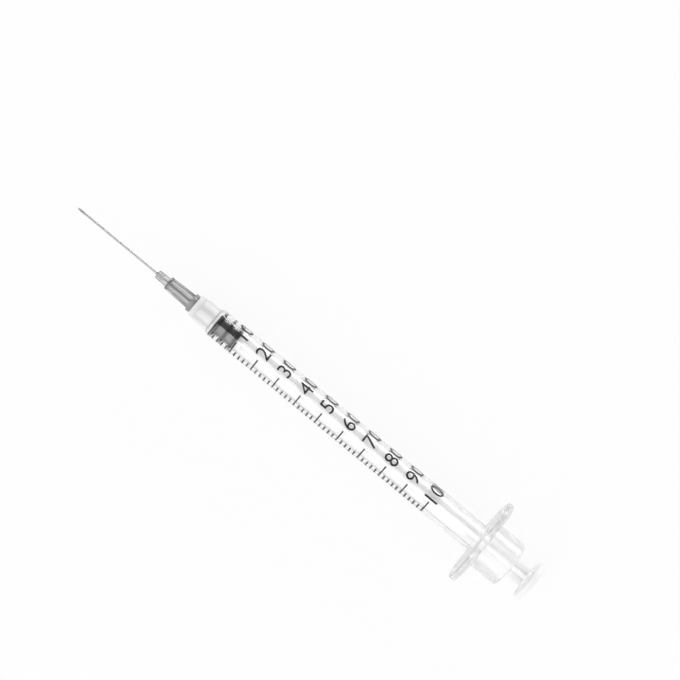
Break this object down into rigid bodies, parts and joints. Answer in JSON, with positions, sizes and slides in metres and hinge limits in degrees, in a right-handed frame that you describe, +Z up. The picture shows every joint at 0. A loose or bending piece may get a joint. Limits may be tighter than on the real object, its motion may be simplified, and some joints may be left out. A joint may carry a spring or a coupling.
{
  "type": "luer lock syringe",
  "caption": "Slim one millilitre luer lock syringe with fitted needle, clear barrel, printed scale, finger flange, open rear cup, rubber stopper and sliding plunger.",
  "frame": {"origin": "on the barrel's axis at the front end of the bore, where the scale has its zero line", "axes": "+X along the axis towards the thumb disc, the needle points to -X, +Z up, wings along Y"},
  "size_m": [0.1233, 0.02, 0.0114],
  "materials": {
    "clear_plastic": "clear polypropylene, polished",
    "milky_plastic": "milky polypropylene, satin",
    "rod_plastic": "natural polypropylene, smooth",
    "hub_plastic": "grey translucent polypropylene",
    "black_rubber": "moulded rubber, siliconed",
    "needle_steel": "drawn stainless tube",
    "adhesive": "cured clear adhesive",
    "scale_ink": "printed black ink"
  },
  "bodies": {
    "barrel": {"barrel": "clear_plastic", "luer_lock_collar": "milky_plastic"},
    "stopper": {"stopper": "black_rubber"},
    "plunger_rod": {"plunger_rod": "rod_plastic"},
    "needle_carrier": {"needle_adhesive": "adhesive"},
    "needle": {"needle_hub": "hub_plastic", "cannula": "needle_steel"}
  },
  "joints": [
    {"name": "plunger_slide", "type": "slide", "parent": "barrel", "child": "stopper", "axis": [1, 0, 0], "range_m": [0, 0.064]},
    {"name": "rod_spin", "type": "hinge", "parent": "stopper", "child": "plunger_rod", "pos_m": [0.0056, 0, 0], "axis": [1, 0, 0], "continuous": true},
    {"name": "needle_advance", "type": "slide", "parent": "barrel", "child": "needle_carrier", "axis": [-1, 0, 0], "range_m": [0, 0.00346]},
    {"name": "needle_unscrew", "type": "hinge", "parent": "needle_carrier", "child": "needle", "pos_m": [-0.0044, 0, 0], "axis": [-1, 0, 0], "range_deg": [0, 450]}
  ],
  "couplings": [
    {"joint": "needle_unscrew", "follows": "needle_advance", "rad_per_m": 2094.4}
  ]
}
